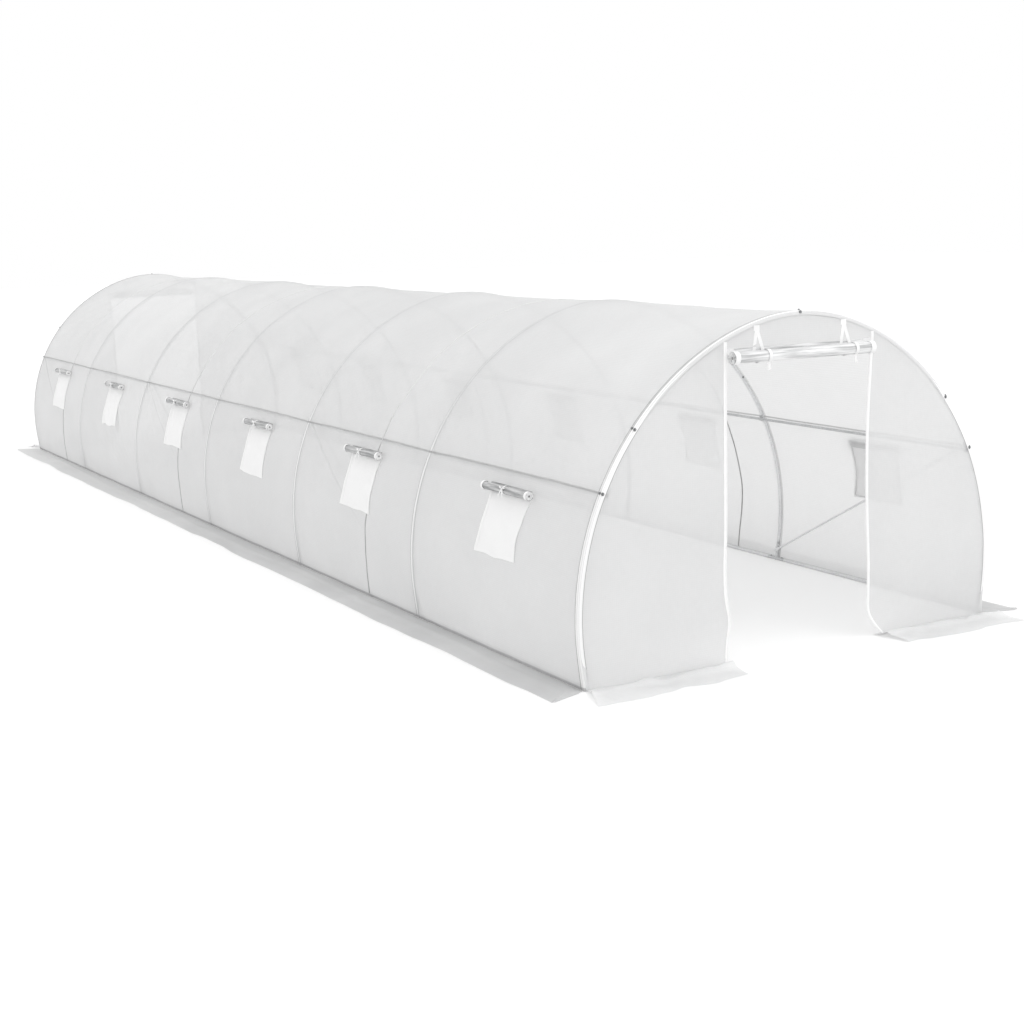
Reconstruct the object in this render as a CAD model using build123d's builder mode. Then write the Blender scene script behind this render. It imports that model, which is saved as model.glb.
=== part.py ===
from build123d import *
from math import acos, asin, atan2, cos, degrees, radians, sin, tan
import os

os.makedirs("parts", exist_ok=True)

# Tunnel greenhouse: a film cover over bent steel tube arches, with a zipped roll-up door at each end.
# All sizes are in mm. X runs across, Y along, Z up. The front is at -Y and the ground is Z = 0.

# Frame
length = 12000.0  # between the first and the last arch
bays = 6
width = 3000.0  # over the tubes, at the ground
height = 2000.0  # ground to the top of the cover
tube_d = 25.0  # arch tubes, over their corners
tube_sides = 6  # bent tubes and rolls are drawn with a few flat sides
roll_sides = 8
base_rail_d = 22.0
base_rail_z = 12.5  # axis above the ground
side_rail_d = 19.0
brace_d = 14.0
crown_radius = 1200.0
crown_half_angle = 14.5
leg_straight = 150.0  # straight end of each arch, above the base rail
tee_leg = 110.0  # height of the foot fitting, along the leg
tee_reach = 90.0  # length of the foot fitting along the base rail, each way
side_rail_z = 1080.0  # where the side rail meets the arch
bracket_wall = 2.2
bracket_length = 46.0
brace_tab = 50.0  # flattened end of a brace
brace_tab_wall = 4.0
brace_tab_width = 20.0
brace_neck = 25.0  # from the flat end to the round tube
brace_end_inset = 15.0  # bolt to the tip of the flat end
brace_top_step = 45.0  # from the arch to the upper bolt, along the rail
brace_foot_rise = 65.0  # lower bolt, up the leg from the base rail

# Cover
film = 2.5
seat = 0.3  # clearance between soft film and what it lies on
skirt_side = 250.0
skirt_end = 275.0
skirt_run_out = 75.0  # the side skirts' corners reach past the end walls
skirt_door_gap = 70.0  # the end skirts stop short of the door zips
skirt_corner_gap = 20.0
skirt_slant = 110.0

# Door, the same at both ends
door_width = 1060.0
door_drop = 190.0  # from the top of the cover to the top of the doorway
zip_width = 20.0
zip_wall = 2.0
zip_rise = 40.0  # the zips end this far above the doorway
door_roll_d = 72.0
door_roll_length = 1030.0
door_roll_drop = 50.0  # roll's axis, below the top of the doorway
door_roll_bore = 14.0
door_tie_x = 320.0
door_tie_width = 18.0
door_tie_wall = 1.5
door_tie_rise = 105.0  # ties' upper bend, above the top of the doorway

# Windows, one in each bay on both sides
window_place = 0.445  # share of a bay, from its front arch
window_width = 430.0
window_low = 605.0
window_high = 955.0
net_wall = 1.2
net_hem = 20.0  # the net overlaps the hole's edge by this much
window_roll_d = 52.0
window_roll_length = 530.0
window_roll_z = 990.0
window_roll_bore = 12.0
window_tie_width = 15.0
window_tie_wall = 1.5

# Worked out from the sizes above
door_height = height - door_drop
zip_top = door_height + zip_rise
door_roll_z = door_height - door_roll_drop
door_tie_top = door_height + door_tie_rise
tube_r = tube_d / 2
base_r = base_rail_d / 2
rail_r = side_rail_d / 2
half_length = length / 2
bay = length / bays
film_in = tube_r + seat  # distances outside the arch's centre line
film_out = film_in + film
end_in = half_length + film_in  # the end walls' two faces
end_out = end_in + film
wall_split = window_roll_z + window_roll_d + 150.0  # side walls below, roof above
arch_places = [-half_length + bay * number for number in range(bays + 1)]
window_places = [place + bay * window_place for place in arch_places[:-1]]

# Half cross-section of an arch's centre line: crown arc, side arc, straight leg.
foot = Vector(width / 2 - tube_r, 0, base_rail_z)
crown_centre = Vector(0, 0, height - film_out - crown_radius)
crown_angle = radians(crown_half_angle)
crown_way = Vector(sin(crown_angle), 0, cos(crown_angle))
crown_end = crown_centre + crown_way * crown_radius
drop = foot - crown_end
side_radius = (leg_straight**2 - drop.length**2) / (2 * drop.dot(crown_way))
side_centre = crown_end - crown_way * side_radius
foot_arm = foot - side_centre
leg_angle = atan2(foot_arm.X, foot_arm.Z) - atan2(leg_straight, side_radius)
leg_normal = Vector(sin(leg_angle), 0, cos(leg_angle))
leg_down = Vector(cos(leg_angle), 0, -sin(leg_angle))
leg_top = side_centre + leg_normal * side_radius


# Angle from the vertical at which the side arc, moved outwards by a distance, has a height.
def angle_at(z, outwards):
    return acos((z - side_centre.Z) / (side_radius + outwards))


# Point of the side arc moved outwards by a distance, at a height.
def wall_point(z, outwards, side=1, y=0.0):
    angle = angle_at(z, outwards)
    reach = side_centre.X + (side_radius + outwards) * sin(angle)
    return Vector(side * reach, y, z)


# Outward direction of the wall at a height.
def wall_normal(z, outwards, side=1):
    angle = angle_at(z, outwards)
    return Vector(side * sin(angle), 0, cos(angle))


# Draws the three arcs and two legs of the section, moved outwards by a distance.
# The legs end on the centre line's foot fitting, or lower down at a height.
def draw_section(outwards, leg_end):
    side_turn = degrees(leg_angle - crown_angle)
    start = leg_top + leg_normal * outwards
    CenterArc(
        (-side_centre.X, side_centre.Z),
        side_radius + outwards,
        90 + degrees(leg_angle),
        -side_turn,
    )
    CenterArc(
        (0, crown_centre.Z),
        crown_radius + outwards,
        90 + crown_half_angle,
        -2 * crown_half_angle,
    )
    CenterArc(
        (side_centre.X, side_centre.Z),
        side_radius + outwards,
        90 - crown_half_angle,
        -side_turn,
    )
    end = start + leg_down * leg_end
    Line((start.X, start.Z), (end.X, end.Z))
    Line((-end.X, end.Z), (-start.X, start.Z))
    return end


# Length of a leg line, moved outwards, down to a height.
def leg_to(z, outwards):
    start = leg_top + leg_normal * outwards
    return (start.Z - z) / -leg_down.Z


# Plane across the tunnel at a place along it. Local x is X, local y is Z, it faces the front.
def across(place):
    return Plane.XZ.offset(-place)


# Draws the closed band between two distances outside the centre line, down to the ground.
def draw_band(inner, outer):
    inner_end = draw_section(inner, leg_to(0, inner))
    outer_end = draw_section(outer, leg_to(0, outer))
    for side in (-1, 1):
        Line((side * inner_end.X, 0), (side * outer_end.X, 0))


# Outline of a tube, with its corners on the round and one corner up the sketch.
def draw_tube(radius, mode=Mode.ADD):
    RegularPolygon(radius, tube_sides, rotation=90, mode=mode)


# Eight-sided outline of a roll, of what is tied round it, of a sleeve or of a thin brace.
# A flat side faces along the sketch's x axis, or at a turn from it.
def draw_roll(radius, turn=0.0, mode=Mode.ADD):
    RegularPolygon(radius, roll_sides, False, 180 / roll_sides + turn, mode=mode)


# Writes a finished piece.
def save(piece, name):
    piece.part.label = name
    export_step(piece.part, f"parts/{name}.step")


side_names = {-1: "left", 1: "right"}
end_names = {-1: "front", 1: "rear"}

# Arches: one bent tube each, standing on the foot fittings.
for number, place in enumerate(arch_places, start=1):
    with BuildPart() as arch:
        with BuildLine(across(place)) as arch_line:
            draw_section(0, leg_straight - tee_leg)
        arch_wire = arch_line.wires()[0]
        with BuildSketch(Plane(origin=arch_wire @ 0, x_dir=(0, 1, 0), z_dir=arch_wire % 0)):
            draw_tube(tube_r)
        sweep(path=arch_wire)
    save(arch, f"arch_{number}")

# Foot fittings: a leg standing on the ground with a short arm along the base rail on each side.
for side, side_name in side_names.items():
    leg_way = Vector(-side * leg_down.X, 0, -leg_down.Z)
    with BuildPart() as feet:
        for place in arch_places:
            leg_foot = Vector(side * foot.X, place, foot.Z)
            leg_start = leg_foot - leg_way * tube_d
            with BuildSketch(Plane(origin=leg_start, x_dir=(0, 1, 0), z_dir=leg_way)):
                draw_tube(tube_r)
            extrude(amount=tube_d + tee_leg)
        split(bisect_by=Plane.XY, keep=Keep.TOP)
        for place in arch_places:
            low = max(place - tee_reach, -half_length)
            high = min(place + tee_reach, half_length)
            with BuildSketch(across(low)):
                with Locations((side * foot.X, foot.Z)):
                    draw_tube(base_r)
            extrude(amount=low - high)
    save(feet, f"foot_fittings_{side_name}")

    # Base rails: a length of tube between each two fittings.
    with BuildPart() as base_rail:
        for place in arch_places[:-1]:
            with BuildSketch(across(place + tee_reach)):
                with Locations((side * foot.X, foot.Z)):
                    draw_tube(base_r)
            extrude(amount=2 * tee_reach - bay)
    save(base_rail, f"base_rail_{side_name}")

# Side rails, inside the arches, and the saddle bracket that holds each crossing.
saddle_r = tube_r + seat
saddle_out = saddle_r + bracket_wall
sleeve_r = rail_r + seat
sleeve_out = sleeve_r + bracket_wall
rail_inset = saddle_out + sleeve_r
for side, side_name in side_names.items():
    crossing = wall_point(side_rail_z, 0, side)
    outward = wall_normal(side_rail_z, 0, side)
    along_arch = outward.cross(Vector(0, 1, 0))
    rail_centre = crossing - outward * rail_inset
    with BuildPart() as side_rail:
        with BuildSketch(across(-half_length - tube_r)):
            with Locations((rail_centre.X, rail_centre.Z)):
                Circle(rail_r)
        extrude(amount=-length - tube_d)
    save(side_rail, f"side_rail_{side_name}")

    with BuildPart() as brackets:
        for place in arch_places:
            step = Vector(0, place, 0)
            start = crossing + step - along_arch * (bracket_length / 2)
            with BuildSketch(Plane(origin=start, x_dir=-outward, z_dir=along_arch)):
                with Locations((saddle_out / 2 + rail_inset / 4, 0)):
                    Rectangle(rail_inset / 2, tube_d)
                draw_tube(saddle_r, Mode.SUBTRACT)
            extrude(amount=bracket_length)
            with BuildSketch(across(place - tube_r)):
                with Locations((rail_centre.X, rail_centre.Z)):
                    draw_roll(sleeve_out)
            extrude(amount=-tube_d)
            with BuildSketch(across(place - tube_r)):
                with Locations((rail_centre.X, rail_centre.Z)):
                    draw_roll(sleeve_r)
            extrude(amount=-tube_d, mode=Mode.SUBTRACT)
            with BuildSketch(Plane(origin=start, x_dir=(0, 1, 0), z_dir=along_arch)):
                draw_tube(saddle_r)
            extrude(amount=bracket_length, mode=Mode.SUBTRACT)
    save(brackets, f"rail_brackets_{side_name}")

# Braces: from the side rail at one arch down to the base rail at the next, on alternate bays.
# A brace's flat ends lie against the inner sides of the side rail and of the foot fitting's leg.
upper_gap = rail_r + seat + brace_tab_wall / 2
brace_foot = foot - leg_down * brace_foot_rise
rail_inner = wall_point(side_rail_z, 0) - wall_normal(side_rail_z, 0) * rail_inset
rise = rail_inner - brace_foot
pitch = atan2(rise.length, bay - brace_top_step)
lean = atan2(-leg_down.X, -leg_down.Z) + atan2(-rise.X, rise.Z)
tab_reach = brace_tab_width / 2 * cos(pitch) + tube_r * tan(pitch)
lower_gap = tube_r + seat + brace_tab_wall / 2 + tab_reach * sin(lean)
tilt = asin((lower_gap - upper_gap) / rise.length)
rise_way = rise.normalized()
inward = Vector(-rise_way.Z, 0, rise_way.X) * cos(tilt) + rise_way * sin(tilt)
for side, side_name in side_names.items():
    with BuildPart() as braces:
        for number in range(bays):
            leans_back = side < 0
            if (number % 2 == 1) != leans_back:
                continue
            if leans_back:
                low_y = arch_places[number]
                high_y = arch_places[number + 1] - brace_top_step
            else:
                low_y = arch_places[number + 1]
                high_y = arch_places[number] + brace_top_step
            low_hole = brace_foot + inward * lower_gap
            high_hole = rail_inner + inward * upper_gap
            low_hole = Vector(side * low_hole.X, low_y, low_hole.Z)
            high_hole = Vector(side * high_hole.X, high_y, high_hole.Z)
            facing = Vector(side * inward.X, 0, inward.Z)
            brace_way = (high_hole - low_hole).normalized()
            tip = low_hole - brace_way * brace_end_inset
            brace_length = (high_hole - low_hole).length + 2 * brace_end_inset
            middle = brace_length - 2 * (brace_tab + brace_neck)
            with BuildSketch(
                Plane(origin=tip, x_dir=facing, z_dir=brace_way).offset(brace_tab + brace_neck)
            ):
                draw_roll(brace_d / 2)
            extrude(amount=middle)
            for start, way in ((tip, brace_way), (tip + brace_way * brace_length, -brace_way)):
                end_plane = Plane(origin=start, x_dir=facing, z_dir=way)
                with BuildSketch(end_plane) as flat_end:
                    Rectangle(brace_tab_wall, brace_tab_width)
                    chamfer(flat_end.vertices(), length=brace_tab_wall / 4)
                extrude(amount=brace_tab)
                with BuildSketch(end_plane.offset(brace_tab)):
                    add(flat_end.sketch_local)
                with BuildSketch(end_plane.offset(brace_tab + brace_neck)):
                    draw_roll(brace_d / 2)
                loft(ruled=True)
    save(braces, f"braces_{side_name}")

# Cover: two side walls with window holes, and the roof between them.
window_mid = (window_low + window_high) / 2
window_reach = (window_high - window_low) / sin(angle_at(window_mid, film_out))
cover_bounds = {
    "side_wall_left": (-width, 0, 0, wall_split),
    "side_wall_right": (0, width, 0, wall_split),
    "roof": (-width, width, wall_split, height + film),
}
for name, (left, right, low, high) in cover_bounds.items():
    with BuildPart() as cover:
        with BuildSketch(across(-end_in)):
            with BuildLine():
                draw_band(film_in, film_out)
            make_face()
            with Locations(((left + right) / 2, (low + high) / 2)):
                Rectangle(right - left, high - low, mode=Mode.INTERSECT)
        extrude(amount=-2 * end_in)
        if name != "roof":
            side = 1 if left == 0 else -1
            facing = wall_normal(window_mid, film_out, side)
            planes = [
                Plane(
                    origin=wall_point(window_mid, film_out, side, place),
                    x_dir=(0, 1, 0),
                    z_dir=facing,
                )
                for place in window_places
            ]
            with BuildSketch(*planes):
                Rectangle(window_width, window_reach)
            extrude(amount=tube_d, both=True, mode=Mode.SUBTRACT)
    save(cover, name)

# Windows: a net behind each hole, and a rolled blind tied up above it.
net_out = film_in - seat
net_in = net_out - net_wall
roll_out = film_out + seat + window_tie_wall + seat + window_roll_d / 2
for side, side_name in side_names.items():
    with BuildPart() as nets:
        for place in window_places:
            with BuildSketch(across(place - window_width / 2 - net_hem)):
                with BuildLine():
                    draw_band(net_in, net_out)
                make_face()
                with Locations((side * width / 2, window_mid)):
                    Rectangle(
                        width,
                        window_high - window_low + 2 * net_hem,
                        mode=Mode.INTERSECT,
                    )
            extrude(amount=-window_width - 2 * net_hem)
    save(nets, f"window_nets_{side_name}")

    roll_centre = wall_point(window_roll_z, roll_out, side)
    wall_turn = side * (90 - degrees(angle_at(window_roll_z, roll_out)))
    with BuildPart() as rolls:
        for place in window_places:
            with BuildSketch(across(place - window_roll_length / 2)):
                with Locations((roll_centre.X, roll_centre.Z)):
                    draw_roll(window_roll_d / 2, wall_turn)
                    draw_roll(window_roll_bore / 2, wall_turn, Mode.SUBTRACT)
            extrude(amount=-window_roll_length)
    save(rolls, f"window_rolls_{side_name}")

    with BuildPart() as ties:
        for place in window_places:
            with BuildSketch(across(place - window_tie_width / 2)):
                with Locations((roll_centre.X, roll_centre.Z)):
                    tie_in = window_roll_d / 2 + seat
                    draw_roll(tie_in + window_tie_wall, wall_turn)
                    draw_roll(tie_in, wall_turn, Mode.SUBTRACT)
            extrude(amount=-window_tie_width)
    save(ties, f"window_ties_{side_name}")

# End walls, in three sheets round the door, closing the cover's ends.
door_half = door_width / 2
wall_bounds = {
    "wall_left": (-width, -door_half, 0, height + film),
    "wall_right": (door_half, width, 0, height + film),
    "wall_top": (-door_half, door_half, door_height, height + film),
}
for end, end_name in end_names.items():
    inner_plane = across(end * end_in)
    for name, (left, right, low, high) in wall_bounds.items():
        with BuildPart() as end_wall:
            with BuildSketch(inner_plane):
                with BuildLine():
                    edge = draw_section(film_out, leg_to(0, film_out))
                    Line((-edge.X, 0), (edge.X, 0))
                make_face()
                with Locations(((left + right) / 2, (low + high) / 2)):
                    Rectangle(right - left, high - low, mode=Mode.INTERSECT)
            extrude(amount=-end * film)
        save(end_wall, f"{end_name}_{name}")

    # Zips, one on each side of the door.
    with BuildPart() as zips:
        with BuildSketch(across(end * end_out)):
            for side in side_names:
                with Locations((side * (door_half + zip_width / 2), zip_top / 2)):
                    Rectangle(zip_width, zip_top)
        extrude(amount=-end * zip_wall)
    save(zips, f"{end_name}_door_zips")

    # Rolled-up door, hanging in its two ties in front of the wall.
    tie_r = door_roll_d / 2 + seat
    roll_y = end * (end_out + seat + door_tie_wall + tie_r)
    with BuildPart() as door_roll:
        with BuildSketch(Plane.YZ.offset(-door_roll_length / 2)):
            with Locations((roll_y, door_roll_z)):
                draw_roll(door_roll_d / 2)
                draw_roll(door_roll_bore / 2, mode=Mode.SUBTRACT)
        extrude(amount=door_roll_length)
    save(door_roll, f"{end_name}_door_roll")

    with BuildPart() as door_ties:
        for side in side_names:
            with BuildSketch(Plane.YZ.offset(side * door_tie_x - door_tie_width / 2)):
                for radius, mode in (
                    (tie_r + door_tie_wall, Mode.ADD),
                    (tie_r, Mode.SUBTRACT),
                ):
                    top_r = radius - tie_r + door_tie_wall
                    top_y = end * (end_out + seat + 2 * door_tie_wall)
                    with BuildSketch(mode=mode):
                        with Locations((roll_y, door_roll_z)):
                            draw_roll(radius)
                        with Locations((top_y, door_tie_top)):
                            draw_roll(top_r)
                        make_hull()
            extrude(amount=door_tie_width)
    save(door_ties, f"{end_name}_door_ties")

# Skirts: the cover's edge, turned out over the ground on every side.
wall_foot = (leg_top + leg_normal * film_out + leg_down * leg_to(film, film_out)).X
for side, side_name in side_names.items():
    with BuildPart() as skirt:
        with BuildSketch():
            with BuildLine():
                Polyline(
                    (side * (wall_foot + seat), -end_out),
                    (side * (wall_foot + skirt_side), -end_out - skirt_run_out),
                    (side * (wall_foot + skirt_side), end_out + skirt_run_out),
                    (side * (wall_foot + seat), end_out),
                    close=True,
                )
            make_face()
        extrude(amount=film)
    save(skirt, f"skirt_{side_name}")
    for end, end_name in end_names.items():
        corner = wall_foot - skirt_corner_gap
        door_side = door_half + zip_width + skirt_door_gap
        near = end * (end_out + seat)
        far = end * (end_out + skirt_end)
        with BuildPart() as end_skirt:
            with BuildSketch():
                with BuildLine():
                    Polyline(
                        (side * corner, near),
                        (side * (corner + skirt_slant), far),
                        (side * door_side, far),
                        (side * door_side, near),
                        close=True,
                    )
                make_face()
            extrude(amount=film)
        save(end_skirt, f"{end_name}_skirt_{side_name}")
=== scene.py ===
import math
import bpy
import numpy as np
from mathutils import Matrix, Vector


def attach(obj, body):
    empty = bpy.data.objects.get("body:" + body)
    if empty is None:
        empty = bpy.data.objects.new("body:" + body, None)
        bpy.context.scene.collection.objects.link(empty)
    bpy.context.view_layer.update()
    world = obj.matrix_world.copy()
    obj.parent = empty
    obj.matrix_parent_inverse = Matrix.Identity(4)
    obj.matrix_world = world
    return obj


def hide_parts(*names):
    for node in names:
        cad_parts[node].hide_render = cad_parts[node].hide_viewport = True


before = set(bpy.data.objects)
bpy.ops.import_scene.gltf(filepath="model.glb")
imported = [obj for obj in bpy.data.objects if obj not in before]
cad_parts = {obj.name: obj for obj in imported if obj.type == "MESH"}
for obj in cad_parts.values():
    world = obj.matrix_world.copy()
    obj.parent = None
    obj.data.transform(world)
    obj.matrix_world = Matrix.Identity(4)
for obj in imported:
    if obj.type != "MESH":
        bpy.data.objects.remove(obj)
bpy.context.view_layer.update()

# The tunnel's own sizes, in metres. X across, Y along (front at -Y), Z up.
tunnel = {
    "length": 12.0,
    "bays": 6,
    "footX": 1.4875,  # arch centre line where it meets the base rail
    "footZ": 0.0125,
    "topZ": 1.9847,  # arch centre line at the crown
    "crownRadius": 1.2,
    "crownHalfAngle": math.radians(14.5),
    "legStraight": 0.15,
    "legSocket": 0.11,  # the arch stops here above the base rail, on its foot fitting
    "tubeRadius": 0.0125,
    "baseRadius": 0.011,
    "armReach": 0.09,
    "film": 0.014,  # cover, out from the arch's centre line
}
halfLength = tunnel["length"] / 2
bay = tunnel["length"] / tunnel["bays"]
archPlaces = [-halfLength + bay * n for n in range(tunnel["bays"] + 1)]
endFace = halfLength + 0.0142  # the end walls' sheet

# Section of the tunnel: crown arc, side arc and straight leg, the same on both sides.
crownCentre = tunnel["topZ"] - tunnel["crownRadius"]
crownX = tunnel["crownRadius"] * math.sin(tunnel["crownHalfAngle"])
crownZ = crownCentre + tunnel["crownRadius"] * math.cos(tunnel["crownHalfAngle"])
dropX, dropZ = tunnel["footX"] - crownX, tunnel["footZ"] - crownZ
lean = math.sin(tunnel["crownHalfAngle"]) * dropX + math.cos(tunnel["crownHalfAngle"]) * dropZ
sideRadius = (tunnel["legStraight"] ** 2 - dropX**2 - dropZ**2) / (2 * lean)
sideX = crownX - sideRadius * math.sin(tunnel["crownHalfAngle"])
sideZ = crownZ - sideRadius * math.cos(tunnel["crownHalfAngle"])
legAngle = math.atan2(tunnel["footX"] - sideX, tunnel["footZ"] - sideZ) - math.atan2(
    tunnel["legStraight"], sideRadius
)
crownRun = tunnel["crownRadius"] * tunnel["crownHalfAngle"]
sideRun = sideRadius * (legAngle - tunnel["crownHalfAngle"])
legTopZ = sideZ + sideRadius * math.cos(legAngle)


def sectionAt(run):
    # x, z and outward normal x, z at a signed distance from the crown along the arch.
    run = np.asarray(run, float)
    side = np.where(run < 0, -1.0, 1.0)
    far = np.abs(run)
    onSide = np.clip(far - crownRun, 0, sideRun)
    onLeg = np.clip(far - crownRun - sideRun, 0, None)
    angle = np.minimum(far, crownRun) / tunnel["crownRadius"] + onSide / sideRadius
    onCrown = far <= crownRun
    x = np.where(onCrown, tunnel["crownRadius"] * np.sin(angle), sideX + sideRadius * np.sin(angle))
    z = np.where(
        onCrown, crownCentre + tunnel["crownRadius"] * np.cos(angle), sideZ + sideRadius * np.cos(angle)
    )
    x = x + onLeg * math.cos(legAngle)
    z = z - onLeg * math.sin(legAngle)
    return side * x, z, side * np.sin(angle), np.cos(angle)


def runToGround(out, low=0.0):
    # Distance from the crown at which a line that far outside the arch reaches a height.
    return crownRun + sideRun + (legTopZ + out * math.cos(legAngle) - low) / math.sin(legAngle)


def runAtHeight(z, out=0.0):
    # Distance from the crown at which the side arc has a height.
    angle = math.acos((z - sideZ) / (sideRadius + out))
    return crownRun + (angle - tunnel["crownHalfAngle"]) * sideRadius


def onWall(run, y, out):
    x, z, nx, nz = sectionAt(run)
    return np.stack(np.broadcast_arrays(x + nx * out, y, z + nz * out), -1)


# Smooth random bumps from -1 to 1, repeatable for a seed.
def bumps(u, v, seed):
    table = np.random.default_rng(seed).uniform(-1, 1, (97, 89))
    u, v = np.broadcast_arrays(np.asarray(u, float), np.asarray(v, float))
    iu, iv = np.floor(u).astype(int), np.floor(v).astype(int)
    fu, fv = u - iu, v - iv
    fu, fv = fu * fu * (3 - 2 * fu), fv * fv * (3 - 2 * fv)
    rows = [(iu + step) % 97 for step in (0, 1)]
    columns = [(iv + step) % 89 for step in (0, 1)]
    low = table[rows[0], columns[0]] * (1 - fu) + table[rows[1], columns[0]] * fu
    high = table[rows[0], columns[1]] * (1 - fu) + table[rows[1], columns[1]] * fu
    return low * (1 - fv) + high * fv


def stretched(low, high, step):
    return np.linspace(low, high, max(2, int(round((high - low) / step)) + 1))


# Mesh pieces
def makePiece(name, points, faces, material):
    mesh = bpy.data.meshes.new(name)
    corners = [tuple(map(float, point)) for point in points]
    mesh.from_pydata(corners, [], [tuple(map(int, face)) for face in faces])
    mesh.validate()
    mesh.polygons.foreach_set("use_smooth", [True] * len(mesh.polygons))
    piece = bpy.data.objects.new(name, mesh)
    bpy.context.scene.collection.objects.link(piece)
    mesh.materials.append(material)
    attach(piece, "root")
    return piece


def gridFaces(rows, columns, skip=None, closed=False):
    faces = []
    for row in range(rows - 1):
        for column in range(columns if closed else columns - 1):
            if skip is not None and skip(row, column):
                continue
            after = (column + 1) % columns
            here, there = row * columns + column, row * columns + after
            faces.append((here, there, there + columns, here + columns))
    return faces


class Bag:
    # Points and faces that are gathered into one mesh.

    def __init__(self):
        self.points, self.faces = [], []

    def add(self, points, faces):
        base = len(self.points)
        self.points += [tuple(map(float, point)) for point in points]
        self.faces += [tuple(int(corner) + base for corner in face) for face in faces]

    def grid(self, points, closed=False):
        rows, columns = points.shape[:2]
        self.add(points.reshape(-1, 3), gridFaces(rows, columns, closed=closed))

    def slab(self, points, thick, normals):
        # A grid of points given a thickness along their normals, closed all round.
        rows, columns = points.shape[:2]
        lower, upper = points, points + normals * thick
        faces = gridFaces(rows, columns)
        count = rows * columns
        under = [tuple(reversed(face)) for face in faces]
        over = [tuple(corner + count for corner in face) for face in faces]
        edge = list(range(columns)) + [row * columns + columns - 1 for row in range(1, rows)]
        edge += [(rows - 1) * columns + column for column in range(columns - 2, -1, -1)]
        edge += [row * columns for row in range(rows - 2, 0, -1)]
        sides = []
        for here, there in zip(edge, edge[1:] + edge[:1]):
            sides.append((here, there, there + count, here + count))
        self.add(np.concatenate([lower.reshape(-1, 3), upper.reshape(-1, 3)]), under + over + sides)

    def tube(self, path, across, along, radii, sides=16, wide=None, caps=True):
        # Rings round a path. across and along span each ring; wide scales the second.
        path = np.asarray(path, float)
        turn = np.linspace(0, 2 * math.pi, sides, endpoint=False)
        radii = np.broadcast_to(np.asarray(radii, float), (len(path),))
        wide = radii if wide is None else np.broadcast_to(np.asarray(wide, float), (len(path),))
        across = np.broadcast_to(across, path.shape)
        along = np.broadcast_to(along, path.shape)
        rings = (
            path[:, None]
            + across[:, None] * (radii[:, None] * np.cos(turn))[..., None]
            + along[:, None] * (wide[:, None] * np.sin(turn))[..., None]
        )
        faces = gridFaces(len(path), sides, closed=True)
        if caps:
            last = (len(path) - 1) * sides
            faces += [tuple(range(sides))[::-1], tuple(range(last, last + sides))]
        self.add(rings.reshape(-1, 3), faces)

    def bolt(self, centre, axis, radius=0.005, height=0.004, washer=0.008):
        axis = np.asarray(axis, float)
        other = np.array([0, 0, 1.0]) if abs(axis[2]) < 0.9 else np.array([1.0, 0, 0])
        one = np.cross(axis, other)
        one /= np.linalg.norm(one)
        two = np.cross(axis, one)
        for sides, low, high, size in ((16, 0, 0.0012, washer), (6, 0.0012, height, radius)):
            path = [np.asarray(centre) + axis * low, np.asarray(centre) + axis * high]
            self.tube(path, one, two, size, sides)

    def mirrored(self):
        other = Bag()
        other.points = [(-x, y, z) for x, y, z in self.points]
        other.faces = [tuple(reversed(face)) for face in self.faces]
        return other

    def turned(self):
        other = Bag()
        other.points = [(-x, -y, z) for x, y, z in self.points]
        other.faces = list(self.faces)
        return other

    def piece(self, name, material, slot):
        return makePiece(name, self.points, self.faces, material)


def sharpen(piece, degrees=35):
    # Smooth shading with hard edges kept where faces turn sharply.
    mesh = piece.data
    limit = math.cos(math.radians(degrees))
    edgeFaces = {}
    for polygon in mesh.polygons:
        for key in polygon.edge_keys:
            edgeFaces.setdefault(key, []).append(polygon.normal.copy())
    flags = [False] * len(mesh.edges)
    for edge in mesh.edges:
        normals = edgeFaces.get(edge.key, [])
        flags[edge.index] = len(normals) == 2 and normals[0].dot(normals[1]) < limit
    attribute = mesh.attributes.get("sharp_edge") or mesh.attributes.new("sharp_edge", "BOOLEAN", "EDGE")
    attribute.data.foreach_set("value", flags)
    return piece


# Shader sockets with arithmetic
class Tap:
    def __init__(self, tree, socket=None):
        self.tree, self.socket = tree, socket

    def node(self, kind, settings=None, sockets=None, out=0):
        made = self.tree.nodes.new(kind)
        for key, value in (settings or {}).items():
            if key == "stops":
                while len(made.color_ramp.elements) < len(value):
                    made.color_ramp.elements.new(0.5)
                for element, (place, shade) in zip(made.color_ramp.elements, value):
                    element.position = place
                    element.color = shade if isinstance(shade, tuple) else (shade, shade, shade, 1)
            else:
                setattr(made, key, value)
        for key, value in (sockets or {}).items():
            if isinstance(value, Tap):
                self.tree.links.new(value.socket, made.inputs[key])
            else:
                made.inputs[key].default_value = value
        return Tap(self.tree, made.outputs[out])

    def maths(self, operation, a, b):
        return self.node("ShaderNodeMath", {"operation": operation}, {0: a, 1: b})

    def __add__(self, other):
        return self.maths("ADD", self, other)

    __radd__ = __add__

    def __sub__(self, other):
        return self.maths("SUBTRACT", self, other)

    def __rsub__(self, other):
        return self.maths("SUBTRACT", other, self)

    def __mul__(self, other):
        return self.maths("MULTIPLY", self, other)

    __rmul__ = __mul__

    def __lt__(self, other):
        return self.maths("LESS_THAN", self, other)

    def __mod__(self, other):
        return self.maths("FLOORED_MODULO", self, other)

    def size(self):
        return self.maths("ABSOLUTE", self, 0.0)

    # From first to last while the value goes from low to high
    def ramp(self, low, high, first=0.0, last=1.0):
        return self.node("ShaderNodeMapRange", None, {0: self, 1: low, 2: high, 3: first, 4: last})

    # Mixes two colours by this factor
    def blend(self, first, second):
        kind = {"data_type": "RGBA"}
        return self.node("ShaderNodeMix", kind, {0: self, 6: first, 7: second}, out=2)


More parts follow.
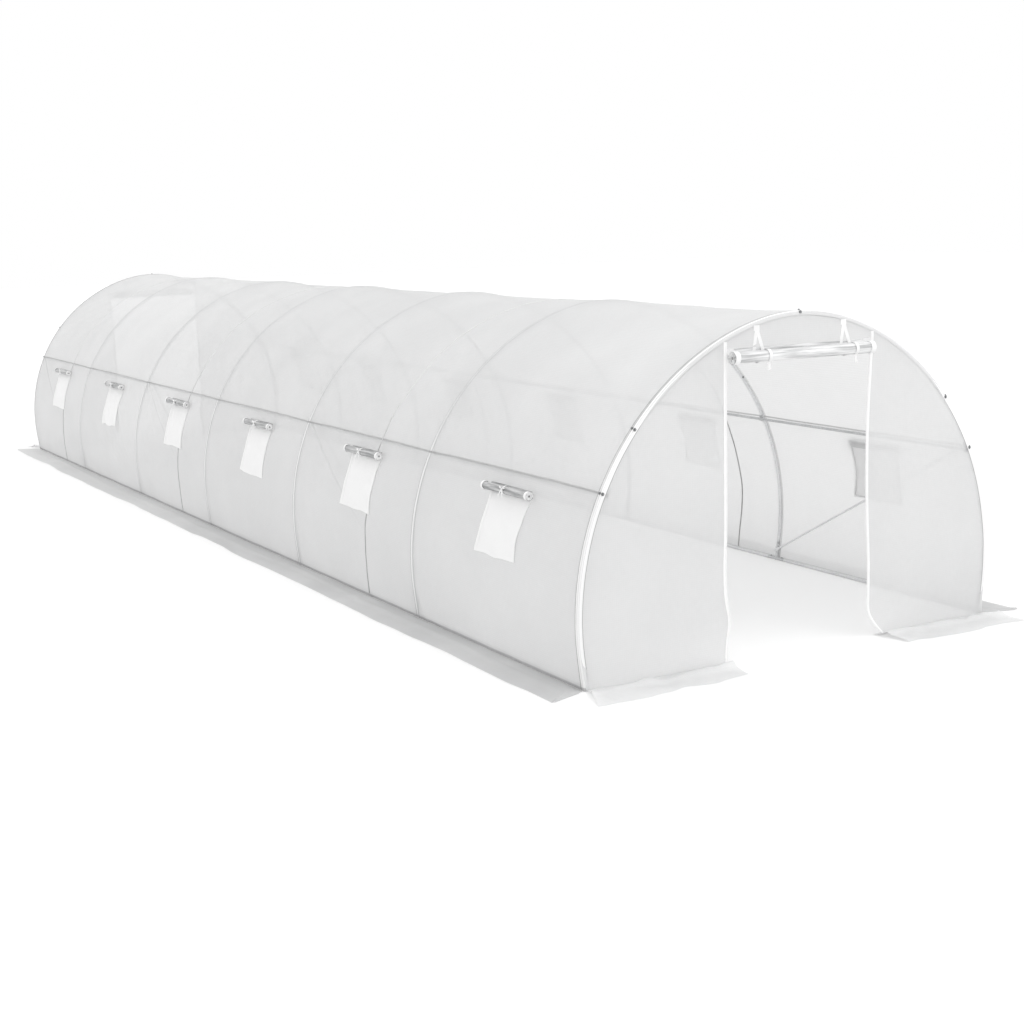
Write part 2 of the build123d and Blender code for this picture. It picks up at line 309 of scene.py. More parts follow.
def makeMaterial(name, build, **fixed):
    # A Principled material: build gives the varying sockets, fixed the plain numbers.
    material = bpy.data.materials.new(name)
    material.use_nodes = True
    tree = material.node_tree
    shader = tree.nodes["Principled BSDF"]
    for key, value in fixed.items():
        shader.inputs[key.replace("_", " ")].default_value = value
    start = Tap(tree)
    place = start.node("ShaderNodeTexCoord", out=3)
    height = through = None
    for key, value in build(start, place).items():
        if key == "bump":
            height = value
        elif key == "through":
            through = value
        elif isinstance(value, Tap):
            tree.links.new(value.socket, shader.inputs[key])
        else:
            shader.inputs[key].default_value = value
    if height is not None:
        values = {"Height": height[0], "Strength": height[1], "Distance": height[2]}
        bump = start.node("ShaderNodeBump", None, values)
        tree.links.new(bump.socket, shader.inputs["Normal"])
    if through is not None:
        behind = start.node("ShaderNodeBsdfTranslucent", None, {"Color": through[1]})
        front = Tap(tree, shader.outputs[0])
        mixed = start.node("ShaderNodeMixShader", None, {0: through[0], 1: front, 2: behind})
        tree.links.new(mixed.socket, tree.nodes["Material Output"].inputs[0])
    return material


def noise(start, place, scale, detail=3.0, rough=0.5):
    values = {"Vector": place, "Scale": scale, "Detail": detail, "Roughness": rough}
    return start.node("ShaderNodeTexNoise", None, values)


def axes(start, place):
    split = start.node("ShaderNodeSeparateXYZ", None, {0: place}).socket.node
    return [Tap(start.tree, split.outputs[way]) for way in range(3)]


def rgb(level, tint=0.0):
    return (level - tint, level, level + tint, 1)


filmLook = {
    "through": 0.45,  # share of light that passes, spread out
    "cover": 0.74,  # alpha of the rest
    "thread": 0.10,  # more alpha on the reinforcing threads
    "pitch": 0.012,
    "threadWidth": 0.0014,
    "warp": (0, 1, 0),  # the threads are spaced along these two directions
    "weft": (0.35, 0, 1),
    "bright": 0.885,
    "dull": 0.80,
    "touch": True,  # tubes that touch the film show as lines of painted highlight and painted shade
    "passed": 0.85,  # tone of the light that passes
    "shade": 0.10,  # painted shade: how much greyer the walls are below the side rails
    "pale": (40.0, 50.0),  # the film pales between these two places along the tunnel
    "paleTone": 0.92,
}
# Lines of painted highlight and painted shade where tubes press on the cover: distances in metres,
# strengths and tones.
touch = {
    "railHeight": 1.0862,  # the side rail lies behind the cover here
    "braceFoot": 0.075,
    "braceInset": 0.045,
    "wander": 0.006,
    "crestHighlight": (0.0085, 0.0125),  # the painted highlight on a tube fades between these
    "beside": (0.014, 0.026),  # and the painted shade beside it between these
    "besideShadeStrength": 0.74,
    "besideShadeTone": 0.38,
    "brace": (0.006, 0.016),
    "braceShadeStrength": 0.42,
    "braceShadeTone": 0.42,
    "rail": (0.003, 0.009),
    "railShadeStrength": 0.82,
    "ground": (0.016, 0.026),
    "groundShadeStrength": 0.62,
    "groundShadeTone": 0.28,
    "edge": (-0.020, -0.012),  # painted shade, along the tunnel, from the end arch's middle
    "edgeShadeStrength": 0.92,
    "wrap": (0.005, 0.009),
    "rim": (0.0165, 0.0168),
    "rimShadeStrength": 0.85,
    "rimShadeTone": 0.30,
    "paintedShadeTone": 0.26,
    "highlightTone": 0.98,
    "shadeTone": 0.45,
}


# Paints the touch lines, painted highlights and painted shade, over a colour, and says how much of the film
# they leave open.
def touchLines(start, x, y, z, place, colour, look):
    wobble = (noise(start, place, 6.0, 2.0) - 0.5) * touch["wander"]
    away = (((y + wobble + halfLength + bay / 2) % bay) - bay / 2).size()
    far = y.size()
    fade = z.ramp(1.0, 1.5, 1.0, 0.35)
    railHeight = touch["railHeight"]
    rail = (z + wobble * 0.6 - railHeight).size()
    inside = far.ramp(halfLength - 0.02, halfLength, 1.0, 0.0)
    # The braces show as lines of painted shade where they come near the film, high up in every second bay.
    bayPlace = ((y + halfLength) % (2 * bay)) - bay
    leaning = bayPlace * start.maths("SIGN", x, 0.0) * (-1.0)
    braceRise = leaning * ((railHeight - touch["braceFoot"]) / (bay - touch["braceInset"]))
    braceGap = (z + wobble - touch["braceFoot"] - braceRise).size()
    braceShow = z.ramp(0.45, 0.95) * z.ramp(railHeight - 0.006, railHeight, 1.0, 0.0)
    edge, wrap, rim = ([halfLength + step for step in touch[key]] for key in ("edge", "wrap", "rim"))
    under = [
        # painted shade beside each arch
        (away.ramp(*touch["beside"], 1.0, 0.0) * fade * touch["besideShadeStrength"], touch["besideShadeTone"]),
        # painted shade along the braces
        (braceGap.ramp(*touch["brace"], 1.0, 0.0) * braceShow * touch["braceShadeStrength"], touch["braceShadeTone"]),
        # painted shade in front of the end arch's highlight
        (far.ramp(*edge) * touch["edgeShadeStrength"], touch["paintedShadeTone"]),
    ]
    # Painted highlight along each arch, where the film is stretched over the tube.
    crestHighlight = away.ramp(*touch["crestHighlight"], 1.0, 0.0) * fade
    # Painted highlight where the film wraps over the end arch.
    last = far.ramp(*wrap)
    over = [
        # painted shade along the turned-down edge of the cover in front of the end arch
        (far.ramp(*rim) * touch["rimShadeStrength"], touch["rimShadeTone"]),
        # painted shade along the ground
        (z.ramp(*touch["ground"], touch["groundShadeStrength"], 0.0), touch["groundShadeTone"]),
        # painted shade along the side rail
        (rail.ramp(*touch["rail"], 1.0, 0.0) * inside * touch["railShadeStrength"], touch["paintedShadeTone"]),
    ]
    solid = start.maths("MAXIMUM", crestHighlight * 0.8, last)
    shut = 1.0 - solid
    for mask, tone in under + over:
        shut = shut * (1.0 - mask)
    white = [(crestHighlight, touch["highlightTone"]), (last, touch["highlightTone"])]
    for mask, tone in under + white + over:
        colour = mask.blend(colour, rgb(tone))
    # Painted shade: the walls below the side rail are greyed, as they face less of the sky.
    lower = z.ramp(railHeight - 0.03, railHeight + 0.02, 1.0, 0.0) * look["shade"]
    return lower.blend(colour, rgb(touch["shadeTone"])), solid, shut


def filmNodes(look):
    def build(start, place):
        x, y, z = axes(start, place)
        cloud = noise(start, place, 1.3, 2.0)
        drift = noise(start, place, 0.45, 1.0)
        crinkle = noise(start, place, 30.0, 3.0, 0.6)
        lines = []
        for way in (look["warp"], look["weft"]):
            along = x * way[0] + y * way[1] + z * way[2] + 20.0
            lines.append((along % look["pitch"]) < look["threadWidth"])
        threads = start.maths("MAXIMUM", *lines)
        shade = (cloud * 0.6 + drift * 0.4).ramp(0.38, 0.62)
        colour = shade.blend(rgb(look["dull"], 0.003), rgb(look["bright"], 0.002))
        colour = y.ramp(*look["pale"], 0.0, 0.8).blend(colour, rgb(look["paleTone"]))
        alpha = look["cover"] + threads * look["thread"] + (cloud - 0.5) * 0.12 + (crinkle - 0.5) * 0.08
        through = look["through"]
        if look["touch"]:
            colour, solid, shut = touchLines(start, x, y, z, place, colour, look)
            alpha = start.maths("MAXIMUM", alpha, solid)
            through = look["through"] * shut
        return {
            "Base Color": colour,
            "Alpha": alpha,
            "Roughness": 0.32 + crinkle * 0.22,
            "through": (through, rgb(look["passed"])),
            "bump": (crinkle * 0.7 + cloud * 0.5 + threads * 0.05, 0.35, 0.006),
        }

    return build


film = makeMaterial("cover film", filmNodes(filmLook), IOR=1.5, Specular_IOR_Level=0.4)
wallLook = {
    **filmLook,
    "bright": 0.92,
    "dull": 0.83,
    "cover": 0.62,
    "touch": False,
    "passed": 0.88,
    "thread": 0.06,
    "warp": (1, 0, 0),
    "weft": (0, 0, 1),
}
wallFilm = makeMaterial("end wall film", filmNodes(wallLook), IOR=1.5, Specular_IOR_Level=0.4)
flapLook = {
    **wallLook,
    "cover": 0.85,
    "bright": 0.95,
    "dull": 0.84,
    "through": 0.25,
    "weft": (0, 1, 0),
}
flapFilm = makeMaterial("end flap film", filmNodes(flapLook), IOR=1.5)
# The side skirts are the flap film painted darker: painted shade at the foot of the side walls.
shadedSkirtLook = {
    **flapLook,
    "bright": 0.80,
    "dull": 0.66,
    "thread": 0.0,
    "passed": 0.74,
    "pale": (-1.0, 5.5),
}
shadedSkirtFilm = makeMaterial("skirt film", filmNodes(shadedSkirtLook), IOR=1.5)


def zincNodes(light, dark):
    def build(start, place):
        grain = noise(start, place, 90.0, 4.0)
        broad = noise(start, place, 5.0, 3.0)
        tone = (grain * 0.6 + broad * 0.4).ramp(0.35, 0.65)
        return {
            "Base Color": tone.blend(rgb(dark, 0.006), rgb(light, 0.006)),
            "Roughness": 0.26 + grain * 0.22,
            "bump": (grain, 0.12, 0.0008),
        }

    return build


zinc = makeMaterial("galvanised tube", zincNodes(0.86, 0.72), Metallic=0.8)
zincDark = makeMaterial("galvanised fitting", zincNodes(0.72, 0.56), Metallic=0.85)
boltSteel = makeMaterial("bolt steel", zincNodes(0.34, 0.22), Metallic=0.9)


def clothNodes(light, dark, pitch, through, clear=1.0):
    def build(start, place):
        x, y, z = axes(start, place)
        turn = 2 * math.pi / pitch
        warp = start.maths("SINE", (y + x * 0.3) * turn, 0.0)
        weft = start.maths("SINE", (z + x * 0.7) * turn, 0.0)
        weave = warp * weft * 0.5 + 0.5
        soil = noise(start, place, 14.0, 4.0)
        result = {
            "Base Color": (soil * 0.7 + weave * 0.3).ramp(0.3, 0.7).blend(rgb(dark), rgb(light)),
            "Roughness": 0.62 + soil * 0.25,
            "bump": (weave + soil * 0.6, 0.3, pitch * 0.4),
            "through": (through, rgb((light + dark) / 2)),
        }
        if clear < 1:
            result["Alpha"] = clear + weave * (1 - clear) * 0.6
        return result

    return build


netCloth = makeMaterial("insect net", clothNodes(1.0, 0.98, 0.0022, 0.08, 0.98))
zipCloth = makeMaterial("white zip tape", clothNodes(0.99, 0.94, 0.0016, 0.0))
hemTape = makeMaterial("white hem", clothNodes(0.99, 0.96, 0.0016, 0.06))
ribbonCloth = makeMaterial("white ribbon", clothNodes(0.99, 0.90, 0.0015, 0.0))


# Streaks of painted sheen and painted shade along a roll.
def rollNodes(light, dark, streaks=(30.0, 2.2, 30.0)):
    def build(start, place):
        flat = start.node("ShaderNodeMapping", None, {0: place, 3: streaks})
        streak = noise(start, flat, 2.0, 5.0, 0.6)
        fine = noise(start, place, 60.0, 3.0)
        return {
            "Base Color": streak.ramp(0.38, 0.62).blend(rgb(dark, 0.004), rgb(light, 0.002)),
            "Roughness": 0.24 + streak * 0.3,
            "bump": (streak + fine * 0.3, 0.4, 0.003),
        }

    return build


# The film rolls are painted darker than the cover, as painted shade of their wound layers.
windowRollFilm = makeMaterial("rolled window film", rollNodes(0.62, 0.26))
doorRollFilm = makeMaterial("rolled door film", rollNodes(0.95, 0.50, (1.6, 34.0, 34.0)))
coreDark = makeMaterial("roll core", rollNodes(0.30, 0.14))


# The welded seam's dark grey is painted shade along its welt.
def seamNodes(start, place):
    fade = axes(start, place)[2].ramp(0.9, 1.35)  # the painted shade fades out over the roof
    grain = noise(start, place, 24.0, 4.0)
    return {
        "Base Color": fade.blend(grain.blend(rgb(0.30), rgb(0.56)), rgb(0.80)),
        "Roughness": 0.35 + grain * 0.2,
        "bump": (grain, 0.3, 0.002),
    }


seamFilm = makeMaterial("welded seam", seamNodes)
print("materials made")

# Frame tubes
splice = {
    "runs": (0.0, 1.32),  # where an arch's tubes are joined, from the crown
    "groove": 0.0006,
    "edges": (-0.003, -0.0012, 0.0012, 0.003),
    "bolt": 0.03,  # from the joint to its bolt
}
endBolt = {"out": 0.0158, "ahead": 0.003, "face": 0.0162, "down": 0.004}
footBolt = 0.06  # from the arch, along the ground rail
rightWay, frontWay, upWay = np.eye(3)
boltBag = Bag()


# Bolts through an arch from its front and its back, where they stay inside the end walls
def boltArch(run, place):
    x, z = (float(value) for value in sectionAt(run)[:2])
    for way in (-1, 1):
        if abs(place + way * 0.02) < endFace:
            boltBag.bolt((x, place + way * tunnel["tubeRadius"], z), (0, way, 0))


legStart = crownRun + sideRun + tunnel["legStraight"] - tunnel["legSocket"]
archRuns = tunnel["legStraight"] - tunnel["legSocket"] + crownRun + sideRun
cuts = [sign * run for run in splice["runs"] for sign in (-1, 1)]
edges = [cut + step for cut in cuts for step in splice["edges"]]
runs = np.unique(np.concatenate([stretched(-archRuns, archRuns, 0.045), edges]))
x, z, nx, nz = sectionAt(runs)
radii = np.full(len(runs), tunnel["tubeRadius"])
for cut in cuts:
    radii[np.abs(runs - cut) < 0.0014] -= splice["groove"]
normal = np.stack([nx, np.zeros_like(x), nz], -1)
for number, place in enumerate(archPlaces, start=1):
    tube = Bag()
    tube.tube(np.stack([x, np.full_like(x, place), z], -1), normal, frontWay, radii, 20)
    arch = tube.piece(f"arch_tube_{number}", zinc, "galvanised_tube")
    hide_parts(f"arch_{number}")
    for cut in cuts:
        boltArch(cut + splice["bolt"], place)

for side, sideName in ((-1, "left"), (1, "right")):
    feet, base = Bag(), Bag()
    footX, footZ = side * tunnel["footX"], tunnel["footZ"]
    for place in archPlaces:
        low = max(place - tunnel["armReach"], -halfLength)
        high = min(place + tunnel["armReach"], halfLength)
        path = [[footX, low, footZ], [footX, high, footZ]]
        feet.tube(path, rightWay, upWay, tunnel["baseRadius"], 20)
        runs = np.array([legStart, legStart + 0.05, runToGround(-tunnel["tubeRadius"])]) * side
        x, z, nx, nz = sectionAt(runs)
        path = np.stack([x, np.full_like(x, place), np.maximum(z, 0.0)], -1)
        normal = np.stack([nx, 0 * nx, nz], -1)
        feet.tube(path, normal * side, frontWay * side, tunnel["tubeRadius"], 20)
        for step in (-footBolt, footBolt):
            if abs(place + step) < halfLength:
                boltBag.bolt((footX, place + step, footZ + tunnel["baseRadius"]), (0, 0, 1))
        boltArch(side * (legStart + splice["bolt"]), place)
    for place in archPlaces[:-1]:
        ends = (place + tunnel["armReach"], place + bay - tunnel["armReach"])
        path = [[footX, y, footZ] for y in ends]
        base.tube(path, rightWay, upWay, tunnel["baseRadius"] * 1.02, 20)
    foot = sharpen(feet.piece(f"foot_sockets_{sideName}", zincDark, "galvanised_fitting"))
    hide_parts(f"foot_fittings_{sideName}")
    rail = sharpen(base.piece(f"ground_rail_{sideName}", zinc, "galvanised_tube"))
    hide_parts(f"base_rail_{sideName}")
    for node, finish in (("side_rail", zincDark), ("rail_brackets", zincDark), ("braces", zinc)):
        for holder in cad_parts[f"{node}_{sideName}"].material_slots:
            holder.material = finish
for end in (-1, 1):
    for run in (0.0, splice["runs"][1], runAtHeight(1.08)):
        for sign in (-1, 1) if run else (1,):
            x, z, nx, nz = (float(value) for value in sectionAt(sign * run))
            out, down = endBolt["out"], endBolt["down"]
            spot = (x + nx * out, end * (halfLength + endBolt["ahead"]), z + nz * out)
            boltBag.bolt(spot, (nx, 0, nz), 0.0055, 0.0060, 0.009)
            spot = (x + nx * down, end * (halfLength + endBolt["face"]), z + nz * down)
            boltBag.bolt(spot, (0, end, 0), 0.0060, 0.0060, 0.010)
sharpen(boltBag.piece("frame_bolts", boltSteel, "galvanised_fitting"))
print("frame tubes made")

# Cover
cover = {
    "step": 0.030,
    "sagCrown": 0.026,
    "sagSide": 0.007,
    "fold": 0.0045,
    "crinkle": 0.0012,
    "pleat": 0.0028,
    "pleatPitch": 0.34,
    "windowPlace": 0.445,
    "windowWidth": 0.43,
    "windowLow": 0.605,
    "windowHigh": 0.955,
    "wrap": 0.0156,
    "wrapTurns": (22, 45, 68, 90),  # rows of points round the end arch, in degrees
    "turnDown": ((0.0006, 0.006, 0.25), (0.0014, 0.0155, 0.5)),  # ahead, down, share of the scallops
    "askew": 0.045,
    "drawn": 0.07,
}
windowPlaces = [place + bay * cover["windowPlace"] for place in archPlaces[:-1]]
windowRuns = (runAtHeight(cover["windowHigh"]), runAtHeight(cover["windowLow"]))
groundRun = runToGround(tunnel["film"], 0.004)


def filmOut(run, y):
    # How far the cover stands outside the arch's centre line.
    share = ((y + halfLength) / bay) % 1.0
    share = np.where(np.abs(y) >= halfLength, 0.0, share)
    hang = (4 * share * (1 - share)) ** 0.7
    number = np.floor((y + halfLength) / bay)
    up = np.clip(np.cos(np.clip(np.abs(run) / 2.6, 0, 1) * math.pi / 2), 0, 1)
    uneven = 1 + 0.35 * bumps(number * 1.7, run * 0.8, 3)
    sag = (cover["sagSide"] + (cover["sagCrown"] - cover["sagSide"]) * up) * hang * uneven
    folds = bumps(y * 2.1 + run * 0.5, run * 0.55, 5) + 0.6 * bumps(y * 4.3 - run * 1.3, run * 1.1, 6)
    fine = bumps(y * 11 + run * 3, run * 7, 7)
    # Shallow diagonal pleats, here and there.
    patch = np.clip(bumps(y * 0.8 + 7, run * 0.9, 11) + 0.25, 0, 1)
    slope = np.where(bumps(number * 2.7, run * 0 + 1.5, 12) > 0, 1.0, -1.0)
    across = y + slope * np.abs(run) * 1.6 + 0.05 * folds
    pleats = patch * np.sin(2 * math.pi * across / cover["pleatPitch"])
    slack = np.clip(hang, 0, 1)
    out = -sag + slack * (cover["fold"] * folds + cover["pleat"] * pleats + cover["crinkle"] * fine)
    grounded = np.clip((np.abs(run) - groundRun + 0.25) / 0.25, 0, 1)
    out = out * (1 - grounded) + grounded * slack * 0.004 * (1 + bumps(y * 5, 0.3, 8))
    nearRail = np.clip(1.4 - np.abs(np.abs(run) - runAtHeight(1.08)) * 4, 0, 1)
    return tunnel["film"] + np.maximum(out, -0.022 + 0.004 * nearRail)


def windowSlant(run, y):
    # Shifts points round a window along the tunnel: it hangs askew and its sides draw in.
    far = np.abs(run)
    depth = (far - windowRuns[0]) / (windowRuns[1] - windowRuns[0])
    nearRun = np.clip(1 - np.maximum(depth - 1, -depth) / 0.7, 0, 1)
    depth = np.clip(depth, 0, 1)
    shift = np.zeros(np.broadcast(run, y).shape)
    for number, place in enumerate(windowPlaces):
        off = y - place
        near = np.clip(1 - (np.abs(off) - cover["windowWidth"] / 2) / 0.20, 0, 1) * nearRun
        askew = cover["askew"] * (1 + 0.5 * bumps(number * 1.3, 0.5, 55)) * depth
        drawn = -off * cover["drawn"] * np.sin(depth * math.pi)
        shift = shift + near * near * (3 - 2 * near) * (askew + drawn)
    return shift


below = stretched(windowRuns[1], groundRun, cover["step"])
beside = stretched(windowRuns[0], windowRuns[1], cover["step"])
above = stretched(-windowRuns[0], windowRuns[0], cover["step"])
runLines = np.concatenate([-below[::-1], -beside[::-1][1:], above[1:], beside[1:], below[1:]])
yStops = [-halfLength]
for place in windowPlaces:
    yStops += [place - cover["windowWidth"] / 2, place + cover["windowWidth"] / 2]
yStops += [halfLength]
yLines = [np.array([yStops[0]])]
for low, high in zip(yStops[:-1], yStops[1:]):
    yLines.append(stretched(low, high, cover["step"])[1:])
yLines = np.concatenate(yLines)
yLines = np.clip(yLines, -halfLength, halfLength)
runGrid, yGrid = np.meshgrid(runLines, yLines)
yGrid = yGrid + windowSlant(runGrid, yGrid)
outGrid = filmOut(runGrid, yGrid)
# The ends wrap over the end arches and turn down in front of the end walls.
scallop = 0.004 * (1 + bumps(runLines * 6, 0.4, 9))
wrapY, wrapOut = [], []
for angle in np.radians(cover["wrapTurns"]):
    wrapY.append(np.full_like(runLines, halfLength + cover["wrap"] * math.sin(angle)))
    wrapOut.append(np.full_like(runLines, cover["wrap"] * math.cos(angle)))
for ahead, down, share in cover["turnDown"]:
    wrapY.append(np.full_like(runLines, halfLength + cover["wrap"] + ahead))
    wrapOut.append(-down - scallop * share)
wraps = len(wrapY)
wrapY, wrapOut = np.array(wrapY), np.array(wrapOut)
yGrid = np.concatenate([-wrapY[::-1], yGrid, wrapY])
outGrid = np.concatenate([wrapOut[::-1], outGrid, wrapOut])
runGrid = np.concatenate([runGrid[:wraps], runGrid, runGrid[:wraps]])
yLines = np.concatenate([[-halfLength] * wraps, yLines, [halfLength] * wraps])
coverPoints = onWall(runGrid, yGrid, outGrid)
coverPoints[..., 2] = np.maximum(coverPoints[..., 2], 0.002)


def inWindow(row, column):
    y = (yLines[row] + yLines[row + 1]) / 2
    run = abs(runLines[column] + runLines[column + 1]) / 2
    if not windowRuns[0] < run < windowRuns[1]:
        return False
    return any(abs(y - place) < cover["windowWidth"] / 2 for place in windowPlaces)


coverFaces = gridFaces(len(yLines), len(runLines), inWindow)
coverSheet = makePiece("cover_sheet", coverPoints.reshape(-1, 3), coverFaces, film)
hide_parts("side_wall_left", "side_wall_right", "roof")
holeArea = len(windowPlaces) * 2 * cover["windowWidth"] * (windowRuns[1] - windowRuns[0])
fullWidth, fullLength = 2 * groundRun, 2 * endFace
print("cover made", len(coverSheet.data.polygons), "faces")

# Seams of the cover: thin welts that wander a little.
seam = {
    "arches": (1, 3, 5),  # a seam follows each of these
    "rightPlace": 0.24,  # share of the bay, on the right
    "leftPlace": 0.37,
    "wander": 0.022,
    "width": 0.011,
    "thick": 0.0044,
}
seamBag = Bag()
for number in seam["arches"]:
    for sign in (-1, 1):
        runs = stretched(0.0, groundRun - 0.02, 0.03) * sign
        meet = np.clip(runs / 1.6 + 0.5, 0, 1)
        base = archPlaces[number] + bay * (seam["leftPlace"] * (1 - meet) + seam["rightPlace"] * meet)
        bends = bumps(runs * 2.6, number * 3.1 + sign, 21) + 0.5 * bumps(runs * 6, number + sign, 22)
        path = base + seam["wander"] * bends
        path = np.where(np.abs(runs) < 0.25, base + (path - base) * np.abs(runs) / 0.25, path)
        strip = []
        for offset in (-0.5, 0.5):
            y = path + offset * seam["width"]
            strip.append(onWall(runs, y, filmOut(runs, y) - seam["thick"] / 2))
        normals = onWall(runs, path, 1.0) - onWall(runs, path, 0.0)
        seamBag.slab(np.stack(strip, 1), seam["thick"], np.stack([normals, normals], 1))
seams = seamBag.piece("cover_seams", seamFilm, "cover_film")
fullWidth * fullLength - holeArea
print("seams made")

# End walls
endWall = {
    "doorHalf": 0.53,
    "doorTop": 1.81,
    "flare": 0.11,  # the right jamb runs out at the ground
    "slack": 0.026,
    "kink": 0.028,
}


def jambX(side, z):
    # Edge of the door opening at a height.
    if side < 0:
        kink = np.exp(-(((z - 0.24) / 0.11) ** 2)) - 0.25 * np.exp(-(((z - 0.55) / 0.15) ** 2))
        return -endWall["doorHalf"] + endWall["kink"] * kink - 0.010 * np.clip(1 - z / 0.1, 0, 1)
    slack = np.sin(np.clip((z - 0.45) / 1.35, 0, 1) * math.pi)
    low = np.clip(1 - z / 0.17, 0, 1)
    return endWall["doorHalf"] - endWall["slack"] * slack + endWall["flare"] * low**1.6


def openingPath(count):
    # Points round the door opening, from the left foot over the top to the right foot.
    sideCount = count // 5 * 2
    z = np.linspace(0, endWall["doorTop"], sideCount, endpoint=False)
    left = np.stack([jambX(-1, z), z], -1)
    x = np.linspace(-endWall["doorHalf"], endWall["doorHalf"], count - 2 * sideCount, endpoint=False)
    top = np.stack([x, np.full_like(x, endWall["doorTop"])], -1)
    z = np.linspace(endWall["doorTop"], 0, sideCount + 1)
    right = np.stack([jambX(1, z), z], -1)
    return np.concatenate([left, top, right])


def outerPath(count):
    sideCount = count // 5 * 2
    middle = count - 2 * sideCount
    tries = np.linspace(0, 2, 200)
    corner = np.interp(endWall["doorHalf"] * 1.1, sectionAt(tries)[0], tries)
    left = np.linspace(-groundRun, -corner, sideCount, endpoint=False)
    top = np.linspace(-corner, corner, middle, endpoint=False)
    right = np.linspace(corner, groundRun, sideCount + 1)
    runs = np.concatenate([left, top, right])
    x, z, nx, nz = sectionAt(runs)
    return np.stack([x + nx * 0.009, z + nz * 0.009], -1)


def wallOut(x, z, seed):
    # How far the end wall's film stands in front of its plane.
    folds = 0.9 + 0.5 * bumps(x * 2.1 + z * 0.8, z * 1.1 + 3, seed)
    folds = folds + 0.25 * bumps(x * 4 - z * 3, z * 2.6, seed + 1)
    hem = np.clip(1 - z / 0.24, 0, 1) ** 2 * (0.026 + 0.022 * bumps(x * 4.5, 0.5, seed + 2))
    return 0.0008 + 0.0055 * folds * np.clip(z / 0.3, 0.4, 1) + hem


count = 170
inner, outer = openingPath(count), outerPath(count)
rings = np.linspace(0, 1, 34)[:, None, None]
flat = inner[None] * (1 - rings) + outer[None] * rings
x, z = flat[..., 0], np.maximum(flat[..., 1], 0.003)
settle = np.clip((1 - rings[..., 0]) * 9, 0, 1)
y = -endFace - wallOut(x, z, 31) * np.maximum(settle, np.clip(1 - z / 0.2, 0, 1) * 0.5)
wallPoints = np.stack([x, y, z], -1)
wallSheets = {}
for endName, turn in (("front", 1), ("rear", -1)):
    points = wallPoints * np.array([turn, turn, 1.0])
    faces = gridFaces(*points.shape[:2])
    wall = makePiece(f"{endName}_wall_sheet", points.reshape(-1, 3), faces, wallFilm)
    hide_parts(f"{endName}_wall_left", f"{endName}_wall_right", f"{endName}_wall_top")
    steps = np.linspace(-groundRun, groundRun, 400)
    sx, sz, _, _ = sectionAt(steps)
    sectionArea = abs(float(np.trapezoid(sz, sx) if hasattr(np, "trapezoid") else np.trapz(sz, sx)))
    doorArea = 2 * endWall["doorHalf"] * endWall["doorTop"]
    wallSheets[endName] = (wall, sectionArea - doorArea)
print("end walls made")

# Door: zips, roll and ribbons, built at the front and turned for the rear.
door = {
    "zipWidth": 0.022,
    "zipTop": 1.85,
    "rollRadius": 0.036,
    "rollInner": 0.010,
    "rollHalf": 0.515,
    "rollBack": 0.0375,  # from the roll's middle to the wall behind it
    "rollSteps": 30,
    "wound": 1.80,  # length of film on the roll
    "lead": 0.048,  # rise from the roll's middle to the edge that it hangs from
    "band": 0.035,
    "rollZ": 1.76,
    "tieX": 0.32,
    "tieWidth": 0.022,
    "tieSlide": (0.052, -0.018),  # the strands spread along the roll
    "tieTop": 1.915,
    # each tie's loose end: along the roll, then ahead and below in radii of the roll
    "tail": ((0.0, 0.35, 0.95), (0.006, 0.30, 1.25), (0.004, 0.32, 1.7), (0.010, 0.30, 2.1)),
}


def wallAt(x, z):
    near = float(wallOut(np.array(x), np.array(z), 31))
    return -endFace - near


zipBag, teethBag = Bag(), Bag()
for side in (-1, 1):
    z = np.concatenate([np.linspace(0.006, 0.6, 40), np.linspace(0.62, door["zipTop"], 40)])
    edge = jambX(side, z)
    columns = []
    for share in (0.0, 0.35, 0.65, 1.0):
        x = edge + side * (share - 0.1) * door["zipWidth"]
        y = -endFace - wallOut(x, z, 31) - 0.0012
        columns.append(np.stack([x, y, z], -1))
    grid = np.stack(columns, 1)
    zipBag.slab(grid, 0.0016, np.broadcast_to(np.array([0, -1.0, 0]), grid.shape))
    x = edge + side * 0.15 * door["zipWidth"]
    y = -endFace - wallOut(x, z, 31) - 0.0034
    path = np.stack([x, y, z], -1)
    teethBag.tube(path, np.array([1.0, 0, 0]), np.array([0, 1.0, 0]), 0.0030, 8, 0.0016)
rollY = -(halfLength + 0.0153 + 0.0021 + door["rollRadius"])


